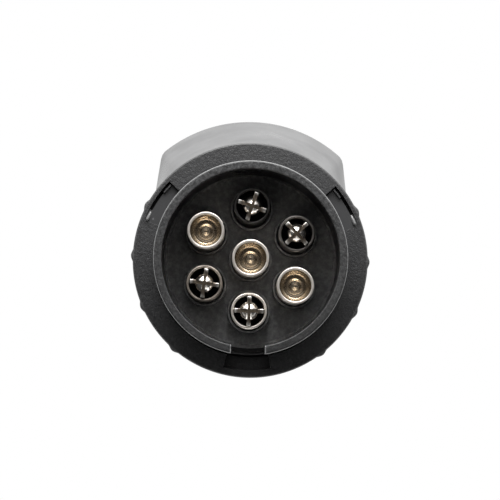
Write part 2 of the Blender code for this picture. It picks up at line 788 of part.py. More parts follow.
def make_hinge():
    pin = bmesh.new()
    inside = EAR_X[1] + GAP
    end = inside + HINGE_PIN_HEAD
    turn(pin, [(0.0, -end), (HINGE_PIN_HEAD_R, -end), (HINGE_PIN_HEAD_R, -inside), (HINGE_PIN_R, -inside),
               (HINGE_PIN_R, inside), (HINGE_PIN_HEAD_R, inside), (HINGE_PIN_HEAD_R, end), (0.0, end)],
         SMALL, (HINGE_Y, HINGE_Z), "X")
    mesh_object("hinge_pin", pin, steel(), (0.0, HINGE_Y, HINGE_Z))

    total = SPRING_TURNS * SPRING_STEPS + SPRING_STEPS // 2
    points = [(-SPRING_HALF_LENGTH, HINGE_Y - SPRING_COIL_R, HINGE_Z - SPRING_LEG)]
    for i in range(total + 1):
        u, v = polar(SPRING_COIL_R, 180 + 360 * i / SPRING_STEPS)
        x = -SPRING_HALF_LENGTH + 2 * SPRING_HALF_LENGTH * i / total
        points.append((x, HINGE_Y + u, HINGE_Z - v))
    points.append((SPRING_HALF_LENGTH, HINGE_Y + SPRING_COIL_R, HINGE_Z - SPRING_LEG))
    spring = bmesh.new()
    swept_tube(spring, points, SPRING_WIRE_R, SPRING_SIDES)
    mesh_object("lid_spring", spring, steel(), (0.0, HINGE_Y, HINGE_Z))


def main():
    clear_scene()
    make_plug_nose()
    make_plug_contacts()
    make_front_collar()
    make_seals()
    make_retainer()
    make_screws()
    make_jumper_wires()
    make_rear_housing()
    make_socket()
    make_lid()
    make_hinge()


main()
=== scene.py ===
"""Looks of the trailer wiring adapter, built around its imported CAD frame.

The axis runs along Y with the plug nose at -Y and the hinge of the lid at +Z. Lengths are in millimetres
up to mesh_piece, which turns them into metres.
"""

import math

import bmesh
import bpy
from mathutils import Matrix, Vector


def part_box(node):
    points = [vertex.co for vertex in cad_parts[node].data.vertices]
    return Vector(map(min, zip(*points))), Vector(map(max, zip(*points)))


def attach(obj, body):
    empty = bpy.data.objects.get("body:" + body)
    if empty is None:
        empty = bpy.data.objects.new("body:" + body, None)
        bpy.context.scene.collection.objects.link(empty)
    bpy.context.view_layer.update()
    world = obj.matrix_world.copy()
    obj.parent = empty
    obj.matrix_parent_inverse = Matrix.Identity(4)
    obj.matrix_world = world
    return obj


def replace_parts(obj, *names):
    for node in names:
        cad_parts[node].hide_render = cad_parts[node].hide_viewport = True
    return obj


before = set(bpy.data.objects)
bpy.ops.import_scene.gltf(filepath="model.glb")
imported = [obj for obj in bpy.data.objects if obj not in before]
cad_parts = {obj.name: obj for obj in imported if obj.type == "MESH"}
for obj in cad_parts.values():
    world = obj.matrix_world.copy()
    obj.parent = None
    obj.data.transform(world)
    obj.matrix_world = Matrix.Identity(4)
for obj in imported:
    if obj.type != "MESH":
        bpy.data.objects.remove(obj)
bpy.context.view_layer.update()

MM = 0.001
ROUND = 160
FILLET_STEPS = 5


def cad_box(node):
    low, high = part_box(node)
    return low / MM, high / MM


def cad_radius(node):
    low, high = cad_box(node)
    return (high.x - low.x) / 2


def cad_centre(node):
    low, high = cad_box(node)
    return (low + high) / 2


# Sizes taken from the frame
NOSE_TIP = cad_box("plug_nose")[0].y
NOSE_BACK = cad_box("plug_nose")[1].y
COLLAR_R = cad_radius("body_gasket") + 0.55
COLLAR_END = cad_box("front_collar")[1].y
RIB_R = cad_radius("front_collar")
HOUSING_END = 60.0
HOUSING_START = 14.1
CONTACT_TIP = cad_box("tube_contact_centre")[0].y
CONTACT_END = 15.0

# Nose
NOSE_R = 22.15
NOSE_BORE = 20.25
NOSE_FLOOR = 5.0
NOSE_FLANGE_R = 22.9
NOSE_FLANGE_Y = 3.5
KEYWAY_HALF = 3.85
KEYWAY_SKIN_R = 21.7

# Collar. Angles are in degrees on the right-hand side, and the left side mirrors them.
COLLAR_BORE = 22.5
COLLAR_BACK_BORE_Y = 10.5
COLLAR_CROWN = 0.35
COLLAR_FILLET = 0.45
WINDOW = (18.9, 42.6)
WINDOW_R = 26.4
WINDOW_START = 0.03
WINDOW_FALL = 1.3
WALL_WIDTH = 0.1
SLOT_R = 25.65
SLOT_ANGLES = (25.2, 36.6)
SLOT_DEPTH = 3.5
LIP_R = (25.3, 25.85)
LIP_ANGLES = (36.2, 42.0)
LIP_GAP_START = 36.0
LIP_GAP = 1.5
LIP_DEPTH = 0.2
BOTTOM_WINDOW_HALF = 12.4
BOTTOM_WINDOW_R = 25.65
BOTTOM_WINDOW_DEPTH = 1.3
LUG_LENGTH = 2.9
LUG_THICK = 0.42
LUG_PLACE = (25.8, 0.55)
LUG_TILT = 0.45
LUG_ANGLES = {"right": 23.0, "left": 157.9}
# Rings of points across the collar's face, close together at the edges of slot, lip and window
COLLAR_RADII = [22.62, 23.2, 24.0, 24.8, 25.25, 25.3, 25.35, 25.41, 25.5, 25.55, 25.6, 25.66, 25.73, 25.76,
                25.81, 25.86, 25.91, 25.95, 26.05, 26.2, 26.3, 26.33, 26.37, 26.41, 26.5, 26.7]
RIB_FIRST = 0.7
RIB_PITCH = 25.8
RIB_HALF = 3.1
RIB_STEPS = (1, 0, -1, -2)


def polar(radius, degrees):
    angle = math.radians(degrees)
    return radius * math.cos(angle), radius * math.sin(angle)


def mirrored(degrees):
    """The angle on the right-hand side that an angle becomes when mirrored about the vertical."""
    folded = degrees % 360
    if 90 < folded < 270:
        folded = 180 - folded
    return (folded + 180) % 360 - 180


def clamped(value):
    return min(1.0, max(0.0, value))


def smooth(value):
    value = clamped(value)
    return value * value * (3 - 2 * value)


def both_sides(degrees):
    """An angle and its mirror image about the vertical."""
    return round(degrees % 360, 3), round((180 - degrees) % 360, 3)


def around(column, degrees):
    """Points at one angle from a column of (radius, y)."""
    points = []
    for radius, y in column:
        u, v = polar(radius, degrees)
        points.append((u, y, v))
    return points


# --- mesh tools


def mesh_piece(name, bm, materials, location=(0.0, 0.0, 0.0), sharp=38.0, weighted=True):
    """One object from a mesh drawn in millimetres about its location."""
    bmesh.ops.recalc_face_normals(bm, faces=bm.faces)
    bmesh.ops.scale(bm, vec=(MM, MM, MM), verts=bm.verts)
    mesh = bpy.data.meshes.new(name)
    bm.to_mesh(mesh)
    bm.free()
    mesh.shade_smooth()
    mesh.set_sharp_from_angle(angle=math.radians(sharp))
    obj = bpy.data.objects.new(name, mesh)
    obj.location = Vector(location) * MM
    bpy.context.scene.collection.objects.link(obj)
    for item in materials if isinstance(materials, (list, tuple)) else [materials]:
        mesh.materials.append(item)
    if weighted:
        modifier = obj.modifiers.new("weighted", "WEIGHTED_NORMAL")
        modifier.keep_sharp = True
        modifier.weight = 80
    return obj


def rounded(corners, steps=FILLET_STEPS):
    """A closed outline in which each (radius, y, fillet) corner becomes a short curve."""
    points = []
    count = len(corners)
    for i, (r, y, size) in enumerate(corners):
        here = Vector((r, y))
        if size <= 0:
            points.append((r, y))
            continue
        before = Vector(corners[i - 1][:2]) - here
        after = Vector(corners[(i + 1) % count][:2]) - here
        reach = min(size, before.length * 0.49, after.length * 0.49)
        start = here + before.normalized() * reach
        end = here + after.normalized() * reach
        for k in range(steps + 1):
            t = k / steps
            at = start * (1 - t) ** 2 + here * 2 * t * (1 - t) + end * t ** 2
            points.append((at.x, at.y))
    return points


def turn(bm, profile, segments=ROUND, centre=(0.0, 0.0), axis="Y", closed=True, slots=None):
    """Spins an outline of (radius, position) points about a line along the axis through the centre."""
    rings = []
    for radius, position in profile:
        count = segments if radius > 1e-6 else 1
        ring = []
        for i in range(count):
            u, v = polar(radius, 360 * i / segments)
            u += centre[0]
            v += centre[1]
            ring.append(bm.verts.new((u, position, v) if axis == "Y" else (position, u, v)))
        rings.append(ring * (segments // count))
    pairs = list(zip(rings, rings[1:] + rings[:1]))
    for index, (ring, following) in enumerate(pairs if closed else pairs[:-1]):
        for i in range(segments):
            j = (i + 1) % segments
            corners = list(dict.fromkeys((ring[i], ring[j], following[j], following[i])))
            if len(corners) > 2:
                face = bm.faces.new(corners)
                if slots:
                    face.material_index = slots(index)


def turned(name, corners, materials, segments=ROUND, centre=(0.0, 0.0), steps=FILLET_STEPS, slots=None,
           closed=True, weighted=True):
    """A turned piece whose origin is on its own axis."""
    bm = bmesh.new()
    turn(bm, rounded(corners, steps), segments, closed=closed, slots=slots)
    return mesh_piece(name, bm, materials, (centre[0], 0.0, centre[1]), weighted=weighted)


def skinned(name, columns, materials, slots=None, capped=False, weighted=True):
    """A skin over columns of points that each run round a loop: a closed ring, or capped at both ends."""
    bm = bmesh.new()
    rows = [[bm.verts.new(point) for point in column] for column in columns]
    count = len(rows[0])
    for at, (row, following) in enumerate(zip(rows, rows[1:] + ([] if capped else rows[:1]))):
        for i in range(count):
            j = (i + 1) % count
            face = bm.faces.new((row[i], row[j], following[j], following[i]))
            if slots:
                face.material_index = slots(at, i)
    if capped:
        bm.faces.new(rows[0])
        bm.faces.new(rows[-1])
    return mesh_piece(name, bm, materials, weighted=weighted)


def near(critical, spread=(0.02, 0.25, 0.6)):
    """Sample places packed on both sides of critical places."""
    places = []
    for value in critical:
        for step in spread:
            places += [value - step, value + step]
    return places


def on_housing(piece, node=None):
    """Fixes a piece to the housing, in place of a CAD node if one is named."""
    if node:
        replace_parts(piece, node)
    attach(piece, "housing")


def set_inputs(node, values):
    for key, value in values.items():
        node.inputs[key].default_value = value


def nodes_named(prefix):
    return sorted(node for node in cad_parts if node.startswith(prefix))


# --- materials


class Finish:
    """A node material being built: a Principled shader with helpers for procedural detail."""

    def __init__(self, name, colour, roughness, metallic=0.0, specular=0.5):
        self.material = bpy.data.materials.new(name)
        self.material.use_nodes = True
        self.nodes = self.material.node_tree.nodes
        self.links = self.material.node_tree.links
        self.shader = self.nodes["Principled BSDF"]
        set_inputs(self.shader, {"Base Color": (*colour, 1.0), "Roughness": roughness, "Metallic": metallic,
                                 "Specular IOR Level": specular})
        self.coordinates = self.nodes.new("ShaderNodeTexCoord").outputs["Object"]

    def noise(self, grain_mm, detail=3.0, roughness=0.6):
        node = self.nodes.new("ShaderNodeTexNoise")
        set_inputs(node, {"Scale": 1 / (grain_mm * MM), "Detail": detail, "Roughness": roughness})
        self.links.new(self.coordinates, node.inputs["Vector"])
        return node.outputs["Fac"]

    def ramp(self, value, stops):
        """Maps a value through (position, colour) stops."""
        node = self.nodes.new("ShaderNodeValToRGB")
        elements = node.color_ramp.elements
        while len(elements) < len(stops):
            elements.new(0.5)
        for element, (position, colour) in zip(elements, stops):
            element.position = position
            element.color = (*colour, 1.0) if isinstance(colour, tuple) else (colour, colour, colour, 1.0)
        self.links.new(value, node.inputs["Fac"])
        return node.outputs["Color"]

    def math(self, operation, first, second=None):
        node = self.nodes.new("ShaderNodeMath")
        node.operation = operation
        for socket, value in zip(node.inputs, (first, second)):
            if value is None:
                continue
            if isinstance(value, (int, float)):
                socket.default_value = value
            else:
                self.links.new(value, socket)
        return node.outputs["Value"]

    def place(self):
        """The X, Y and Z of a point on the object, in metres."""
        split = self.nodes.new("ShaderNodeSeparateXYZ")
        self.links.new(self.coordinates, split.inputs["Vector"])
        return split.outputs

    def radius(self):
        """Distance from the object's Y axis, in millimetres."""
        place = self.place()
        squares = [self.math("MULTIPLY", place[axis], place[axis]) for axis in ("X", "Z")]
        return self.math("DIVIDE", self.math("SQRT", self.math("ADD", *squares)), MM)

    def mix(self, share, first, second):
        node = self.nodes.new("ShaderNodeMix")
        node.data_type = "RGBA"
        self.links.new(share, node.inputs["Factor"])
        for key, value in (("A", first), ("B", second)):
            socket = [s for s in node.inputs if s.name == key and s.type == "RGBA"][0]
            if isinstance(value, tuple):
                socket.default_value = (*value, 1.0)
            else:
                self.links.new(value, socket)
        return [s for s in node.outputs if s.type == "RGBA"][0]

    def colour(self, output):
        self.links.new(output, self.shader.inputs["Base Color"])

    def rough(self, output):
        self.links.new(output, self.shader.inputs["Roughness"])

    def bump(self, height, distance_mm, strength=1.0, base=None):
        node = self.nodes.new("ShaderNodeBump")
        set_inputs(node, {"Strength": strength, "Distance": distance_mm * MM})
        self.links.new(height, node.inputs["Height"])
        if base is not None:
            self.links.new(base, node.inputs["Normal"])
        self.links.new(node.outputs["Normal"], self.shader.inputs["Normal"])
        return node.outputs["Normal"]


def textured_plastic(name, grain, depth, shade=(0.026, 0.026, 0.027), glint_radius=None):
    """Black moulded plastic with a fine spark-eroded texture and paler rubbed spots.

    The last argument is the radius beyond which the front edge is painted pale: a painted highlight for the
    glint of the bright surround along the edge.
    """
    finish = Finish(name, shade, 0.5)
    grainy = finish.noise(grain, 4.0, 0.7)
    broad = finish.noise(9.0, 3.0)
    pale = tuple(c * 1.9 + 0.006 for c in shade)
    colour = finish.mix(finish.ramp(grainy, [(0.42, 0.0), (0.75, 1.0)]), shade, pale)
    # Painted highlight: the front outer edge is painted pale, standing in for the glint of the bright
    # surround at a grazing angle.
    if glint_radius is not None:
        front = finish.math("LESS_THAN", finish.place()["Y"], 0.7 * MM)
        edge = finish.math("GREATER_THAN", finish.radius(), glint_radius)
        edge_glint = finish.math("MULTIPLY", finish.math("MULTIPLY", front, edge),
                           finish.ramp(grainy, [(0.3, 0.35), (0.6, 1.0)]))
        colour = finish.mix(edge_glint, colour, (0.05, 0.05, 0.05))
    finish.colour(colour)
    finish.rough(finish.ramp(broad, [(0.3, 0.44), (0.7, 0.56)]))
    finish.bump(grainy, depth)
    return finish.material


def shroud_plastic(name, shade):
    """The nose's textured plastic: painted shade makes it darker towards the bottom, and a painted highlight
    runs along its rim's outer edge and beside the keyway.
    """
    finish = Finish(name, shade, 0.5)
    grainy = finish.noise(0.6, 4.0, 0.75)
    speckled = finish.ramp(grainy, [(0.4, (0.012, 0.012, 0.012)), (0.52, tuple(c * 1.7 for c in shade)),
                                    (0.66, (0.065, 0.065, 0.065))])
    place = finish.place()
    # Painted shade: the colour is mixed darker towards the bottom, where less light falls.
    height = finish.math("ADD", finish.math("DIVIDE", place["Z"], 2 * NOSE_R * MM), 0.5)
    painted_shade_below = finish.ramp(height, [(0.1, 0.62), (0.8, 0.0)])
    speckled = finish.mix(painted_shade_below, speckled, (0.009, 0.009, 0.009))
    # Painted highlight: the rim's outer edge and the edges beside the keyway are painted pale, standing in
    # for the glint of the bright surround at a grazing angle.
    at_tip = finish.math("LESS_THAN", place["Y"], (NOSE_TIP + 0.45) * MM)
    edge = finish.math("GREATER_THAN", finish.radius(), NOSE_R - 0.14)
    from_key = finish.math("SUBTRACT", finish.math("ABSOLUTE", place["X"]), (KEYWAY_HALF + 0.12) * MM)
    beside = finish.math("LESS_THAN", finish.math("ABSOLUTE", from_key), 0.12 * MM)
    below = finish.math("LESS_THAN", place["Z"], 0.0)
    beside = finish.math("MULTIPLY", beside, below)
    edge_glint = finish.math("MULTIPLY", finish.math("MAXIMUM", edge, beside), at_tip)
    edge_glint = finish.math("MULTIPLY", edge_glint, finish.ramp(grainy, [(0.3, 0.5), (0.6, 1.0)]))
    finish.colour(finish.mix(edge_glint, speckled, (0.2, 0.2, 0.2)))
    finish.rough(finish.ramp(finish.noise(9.0, 3.0), [(0.3, 0.44), (0.7, 0.56)]))
    finish.bump(grainy, 0.13)
    return finish.material


def smooth_plastic(name, shade=(0.02, 0.02, 0.021), roughness=(0.26, 0.36)):
    """Black moulded plastic with a satin skin, faint flow marks and a few dust specks."""
    finish = Finish(name, shade, roughness[0])
    flow = finish.noise(14.0, 4.0, 0.55)
    fine = finish.noise(0.5, 3.0)
    speck = finish.ramp(finish.noise(0.9, 1.0), [(0.74, 0.0), (0.80, 1.0)])
    pale = tuple(c * 3 + 0.02 for c in shade)
    finish.colour(finish.mix(speck, shade, pale))
    finish.rough(finish.ramp(flow, [(0.3, roughness[0]), (0.7, roughness[1])]))
    first = finish.bump(flow, 0.05, 0.5)
    finish.bump(fine, 0.006, 0.6, base=first)
    return finish.material


def rubber(name):
    finish = Finish(name, (0.014, 0.014, 0.014), 0.75, specular=0.35)
    dust = finish.noise(1.2, 5.0, 0.7)
    finish.colour(finish.ramp(dust, [(0.45, (0.012, 0.012, 0.012)), (0.75, (0.035, 0.034, 0.032))]))
    finish.bump(dust, 0.03, 0.6)
    return finish.material


def plated(name, bright, dull, roughness, rings=None, tarnish=0.5, bands=None):
    """Plated or turned metal: tarnish in soft clouds, hairline scratches and, if asked, tool rings.

    bands is the spacing of broad turned bands, the radius of a bright one, and how deep they are.
    """
    finish = Finish(name, bright, roughness, 1.0)
    clouds = finish.noise(1.6, 4.0, 0.6)
    colour = finish.mix(finish.ramp(clouds, [(0.45, 0.0), (0.8, tarnish)]), bright, dull)
    if bands:
        band_spacing, bright_radius, band_depth = bands
        # Painted shade: the hollows of the broad bands are painted darker, standing in for the dark rings the
        # turned face reflects.
        darker = tuple(c * 0.5 for c in dull)
        turns = finish.math("MULTIPLY", finish.math("SUBTRACT", finish.radius(), bright_radius),
                            2 * math.pi / band_spacing)
        crest = finish.math("COSINE", turns)
        hollow = finish.math("SUBTRACT", 0.5, finish.math("MULTIPLY", crest, 0.5))
        colour = finish.mix(finish.math("MULTIPLY", hollow, 0.55), colour, darker)
    finish.colour(colour)
    fine = finish.noise(0.18, 3.0)
    finish.rough(finish.ramp(fine, [(0.3, roughness * 0.75), (0.75, roughness * 1.35)]))
    normal = finish.bump(fine, 0.004 if rings is None else 0.001, 0.6)
    if bands:
        normal = finish.bump(crest, band_depth, base=normal)
    if rings:
        spacing, depth = rings
        waves = finish.math("SINE", finish.math("MULTIPLY", finish.radius(), 2 * math.pi / spacing))
        finish.bump(waves, depth, base=normal)
    return finish.material


def worn_fins(name):
    """Fins between pin and sleeve: brown with tarnish in the middle, rubbed bright at their ends."""
    finish = Finish(name, (0.8, 0.76, 0.7), 0.34, 1.0)
    clouds = finish.noise(0.7, 3.0)
    share = finish.math("ADD", finish.radius(), finish.math("MULTIPLY", clouds, 1.2))
    share = finish.math("DIVIDE", share, 5.0)
    finish.colour(finish.ramp(share, [(0.42, (0.27, 0.22, 0.17)), (0.62, (0.2, 0.17, 0.14)),
                                      (0.78, (0.9, 0.87, 0.82))]))
    finish.rough(finish.ramp(clouds, [(0.3, 0.28), (0.7, 0.42)]))
    finish.bump(clouds, 0.03, 0.6)
    return finish.material


def wire_insulation(name, shade):
    finish = Finish(name, shade, 0.45)
    mottle = finish.noise(2.5, 4.0)
    darker = tuple(c * 0.7 for c in shade)
    finish.colour(finish.mix(finish.ramp(mottle, [(0.4, 0.0), (0.7, 1.0)]), shade, darker))
    finish.bump(mottle, 0.03, 0.5)
    return finish.material


TEXTURED = textured_plastic("textured_plastic", 0.55, 0.11)
SHROUD = shroud_plastic("shroud_plastic", (0.02, 0.02, 0.0205))
# The collar is a darker copy of the textured plastic, as painted shade for the shadow of the nose, with a
# painted highlight along its outer front edge.
COLLAR = textured_plastic("collar_painted_shade_and_glint", 0.55, 0.14, (0.013, 0.013, 0.0135), COLLAR_R - 0.35)
# The floor plastic is painted far paler than the other black plastics: painted light that makes up for the
# light reaching the floor and bosses inside the nose.
FLOOR = textured_plastic("floor_plastic_painted_light", 0.9, 0.01, (0.215, 0.215, 0.217))
SMOOTH = smooth_plastic("smooth_plastic")
HOOD = smooth_plastic("housing_plastic")
# The lug plastic is painted paler than the other black plastics: a painted highlight for the light the lugs'
# tilted ends catch.
LUG = smooth_plastic("lug_plastic_painted_highlight", (0.09, 0.09, 0.09), (0.3, 0.4))
INSERT = textured_plastic("insert_plastic", 0.25, 0.015, (0.022, 0.022, 0.023))
RUBBER = rubber("seal_rubber")
NICKEL = plated("nickel_plate", (0.88, 0.84, 0.78), (0.55, 0.47, 0.36), 0.16)
BRASS = plated("turned_brass", (0.86, 0.76, 0.62), (0.56, 0.46, 0.35), 0.2, rings=(0.14, 0.007), tarnish=0.45,
               bands=(1.1, 1.7, 0.03))
PALE_NICKEL = plated("pale_nickel", (0.92, 0.86, 0.79), (0.7, 0.62, 0.52), 0.4)
# The upper sleeves are darker copies of the pale plating, darker the higher they sit: painted shade for the
# nose's shadow over them.
SLEEVES = {
    "top": plated("sleeve_painted_deep_shade", (0.06, 0.058, 0.055), (0.03, 0.028, 0.026), 0.42),
    "upper_right": plated("sleeve_painted_shade", (0.16, 0.15, 0.14), (0.07, 0.065, 0.06), 0.42),
    "lower_left": plated("sleeve_painted_half_shade", (0.42, 0.37, 0.32), (0.2, 0.17, 0.14), 0.42),
    "bottom": PALE_NICKEL,
}
WORN = worn_fins("worn_fins")
STEEL = plated("zinc_steel", (0.52, 0.52, 0.52), (0.35, 0.34, 0.33), 0.32)
WIRE = wire_insulation("wire_insulation", (0.35, 0.04, 0.03))


# --- plug nose


def nose_columns():
    """Columns round the shroud. Near the keyway they stand at even x, so that its sides are parallel."""
    spacing = 2.0
    limit = 9.5
    across = sorted(set([round(-limit + 0.5 * i, 3) for i in range(int(2 * limit / 0.5) + 1)]
                        + [side * (KEYWAY_HALF + step) for side in (-1, 1)
                           for step in (-0.3, -0.02, 0.0, 0.04, 0.09, 0.15, 0.22, 0.3)]))
    edge = math.degrees(math.asin(limit / NOSE_R))
    columns = [(270.0 + math.degrees(math.asin(x / NOSE_R)), x) for x in across]
    for i in range(180):
        degrees = spacing * i
        if abs((degrees - 270 + 180) % 360 - 180) > edge + spacing:
            columns.append((degrees, None))
    return sorted(columns)


def nose_point(radius, y, degrees, x):
    u, v = polar(radius, degrees)
    if x is None:
        return (u, y, v)
    blend = smooth((abs(x) - 6.0) / 3.5)
    x_here = x * (1 - blend) + u * blend
    return (x_here, y, -math.sqrt(max(0.0, radius ** 2 - x_here ** 2)))


def make_nose():
    tip = NOSE_TIP
    loop = rounded([(NOSE_BORE, NOSE_FLOOR + 0.6, 0.0), (NOSE_BORE, tip, 0.3), (NOSE_R, tip, 0.5),
                    (NOSE_R, NOSE_FLANGE_Y, 0.0), (NOSE_FLANGE_R, NOSE_FLANGE_Y, 0.0),
                    (NOSE_FLANGE_R, NOSE_BACK, 0.0), (18.5, NOSE_BACK, 0.0), (18.5, NOSE_FLOOR + 0.6, 0.0)])
    dense = []
    for first, second in zip(loop, loop[1:] + loop[:1]):
        dense.append(first)
        if abs(second[1] - first[1]) > 8:
            dense += [(first[0] + (second[0] - first[0]) * s, first[1] + (second[1] - first[1]) * s)
                      for s in (0.25, 0.5, 0.72, 0.76)]
    columns = []
    for degrees, x in nose_columns():
        column = []
        for radius, y in dense:
            if x is not None and abs(x) < KEYWAY_HALF + 0.3 and radius > NOSE_BORE - 0.5 and y < 3.4:
                inside = KEYWAY_HALF - abs(x)
                cut = -0.2 if radius > KEYWAY_SKIN_R else NOSE_FLOOR - 0.05
                if inside > 0.01:
                    y = max(y, cut)
                else:
                    over = 0.3 + inside
                    drop = 0.3 - math.sqrt(max(0.0, 0.3 ** 2 - (0.3 - over) ** 2))
                    y = max(y, tip + drop)
            column.append(nose_point(radius, y, degrees, x))
        columns.append(column)
    inside = [i for i, (first, second) in enumerate(zip(dense, dense[1:] + dense[:1]))
              if abs(first[0] - NOSE_BORE) < 0.01 and abs(second[0] - NOSE_BORE) < 0.01]
    shroud = skinned("nose_shroud", columns, [SHROUD, SMOOTH], slots=lambda at, i: 1 if i in inside else 0)

    on_housing(shroud, "plug_nose")
    corners = [(0.0, NOSE_FLOOR, 0.0), (19.55, NOSE_FLOOR, 0.12), (19.75, NOSE_FLOOR - 0.25, 0.12),
               (20.6, NOSE_FLOOR - 0.25, 0.0), (20.6, NOSE_BACK - 0.4, 0.0), (0.0, NOSE_BACK - 0.4, 0.0)]
    on_housing(turned("nose_floor", corners, FLOOR, 128, steps=3))

    for node in nodes_named(("tube_contact", "pin_contact")):
        centre = cad_centre(node)
        boss = turned("boss_" + node, [(4.55, NOSE_FLOOR + 0.5, 0.0), (4.55, 1.2, 0.1), (4.95, 1.2, 0.15),
                                       (5.1, NOSE_FLOOR + 0.5, 0.0)], FLOOR, 64, (centre.x, centre.z))
        on_housing(boss)


# --- front collar


def rib_height(degrees):
    """How far a grip rib stands out at an angle. The ribs are mirrored about the vertical."""
    folded = mirrored(degrees)
    best = 0.0
    for step in RIB_STEPS:
        off = abs(folded - (RIB_FIRST + RIB_PITCH * step)) / RIB_HALF
        if off < 1:
            best = 0.5 * (1 + math.cos(math.pi * off)) ** 0.6 * 0.5 ** -0.2 * (RIB_R - COLLAR_R)
    return min(best, RIB_R - COLLAR_R)


def window_depth(degrees, radius):
    """Depth of the collar's front face: two ramped windows above and a plain one below."""
    folded = mirrored(degrees)
    mm_per_degree = radius * math.pi / 180
    low, high = WINDOW
    if low < folded < high:
        share = (folded - low) / (high - low)
        wall = clamped((high - folded) * mm_per_degree / WALL_WIDTH)
        edge = clamped((WINDOW_R - radius) / WALL_WIDTH)
        slot = smooth((radius - SLOT_R) / 0.15)
        slot *= smooth((folded - SLOT_ANGLES[0]) / 0.4) * smooth((SLOT_ANGLES[1] - folded) / 0.3)
        lip = smooth((radius - LIP_R[0]) / 0.1) * smooth((LIP_R[1] - radius) / 0.1)
        lip *= smooth((folded - LIP_ANGLES[0]) / 0.2) * smooth((LIP_ANGLES[1] - folded) / 0.2)
        gap = smooth((radius - LIP_R[1]) / 0.08) * smooth((folded - LIP_GAP_START) / 0.2)
        depth = WINDOW_START + WINDOW_FALL * share + SLOT_DEPTH * slot + LIP_GAP * gap
        return (depth * (1 - lip) + LIP_DEPTH * lip) * wall * edge
    off = abs((degrees % 360) - 270)
    if off < BOTTOM_WINDOW_HALF:
        wall = clamped((BOTTOM_WINDOW_HALF - off) * mm_per_degree / WALL_WIDTH)
        return BOTTOM_WINDOW_DEPTH * wall * clamped((BOTTOM_WINDOW_R - radius) / WALL_WIDTH)
    return 0.0


def collar_crown(radius):
    """The collar's face falls away slightly towards its outer edge."""
    return COLLAR_CROWN * max(0.0, (radius - COLLAR_BORE) / (COLLAR_R - COLLAR_FILLET - COLLAR_BORE)) ** 1.2


def make_latch_lug(side, degrees):
    """The rounded end of a latch slot: a small pill, tilted out of the window's floor."""
    bm = bmesh.new()
    straight = LUG_LENGTH / 2 - LUG_THICK
    profile = []
    for k in range(13):
        a = math.radians(180 * k / 12)
        end = straight if k <= 6 else -straight
        profile.append((LUG_THICK * math.sin(a), LUG_THICK * math.cos(a) + end))
    turn(bm, profile, 24, closed=False)
    lug = mesh_piece("latch_lug_" + side, bm, LUG, weighted=False)
    lug_r, lug_y = LUG_PLACE
    x, z = polar(lug_r, degrees)
    along = Vector((-math.sin(math.radians(degrees)), 0.0, math.cos(math.radians(degrees))))
    if along.z < 0:
        along = -along
    axis = (along + Vector((0.0, LUG_TILT, 0.0))).normalized()
    lug.rotation_euler = Vector((0.0, 1.0, 0.0)).rotation_difference(axis).to_euler()
    lug.location = Vector((x, lug_y, z)) * MM
    on_housing(lug)


def recessed(degrees, radius):
    """Whether a place is on the smooth floor of an upper window, not on its lip bar."""
    folded = mirrored(degrees)
    least = 0.35 if folded > 35 else 0.04
    return folded > 0 and window_depth(degrees, radius + 0.04) > least


def make_collar():
    """The collar, with a column of points at each angle, closest where a window or rib begins."""
    marks = [*WINDOW, *SLOT_ANGLES, SLOT_ANGLES[0] + 0.4, *LIP_ANGLES]
    angles = set(round(360 * i / 240, 3) for i in range(240))
    for mark in near(marks, (0.03, 0.12, 0.25)):
        angles.update(both_sides(mark))
    for mark in near([-BOTTOM_WINDOW_HALF, BOTTOM_WINDOW_HALF], (0.03, 0.12, 0.25)):
        angles.add(round(270 + mark, 3))
    for step in RIB_STEPS:
        for k in range(-8, 9):
            angles.update(both_sides(RIB_FIRST + RIB_PITCH * step + RIB_HALF * k / 8))
    columns = []
    ordered = sorted(angles)
    for degrees in ordered:
        rib = rib_height(degrees)
        column = [(COLLAR_BORE, 0.12 + window_depth(degrees, COLLAR_BORE + 0.1))]
        column += [(radius, window_depth(degrees, radius) + collar_crown(radius)) for radius in COLLAR_RADII]
        for k in range(6):
            a = math.radians(90 * k / 5)
            column.append((COLLAR_R - COLLAR_FILLET + (COLLAR_FILLET + rib) * math.sin(a),
                           COLLAR_CROWN + COLLAR_FILLET - COLLAR_FILLET * math.cos(a)))
        column += [(COLLAR_R + rib, y) for y in (4.0, 8.0, COLLAR_END - 0.8)]
        column += [(COLLAR_R - 0.1 + rib * 0.3, COLLAR_END - 0.25), (COLLAR_R - 0.4, COLLAR_END),
                   (COLLAR_BORE + 2.5, COLLAR_END), (COLLAR_BORE + 2.5, COLLAR_BACK_BORE_Y),
                   (COLLAR_BORE, COLLAR_BACK_BORE_Y)]
        columns.append(around(column, degrees))

    def face_slot(at, i):
        return 1 if i < len(COLLAR_RADII) - 3 and recessed(ordered[at], COLLAR_RADII[i]) else 0

    collar = skinned("latched_collar", columns, [COLLAR, SMOOTH], slots=face_slot)
    on_housing(collar, "front_collar")
    for side, degrees in LUG_ANGLES.items():
        make_latch_lug(side, degrees)


# --- contacts


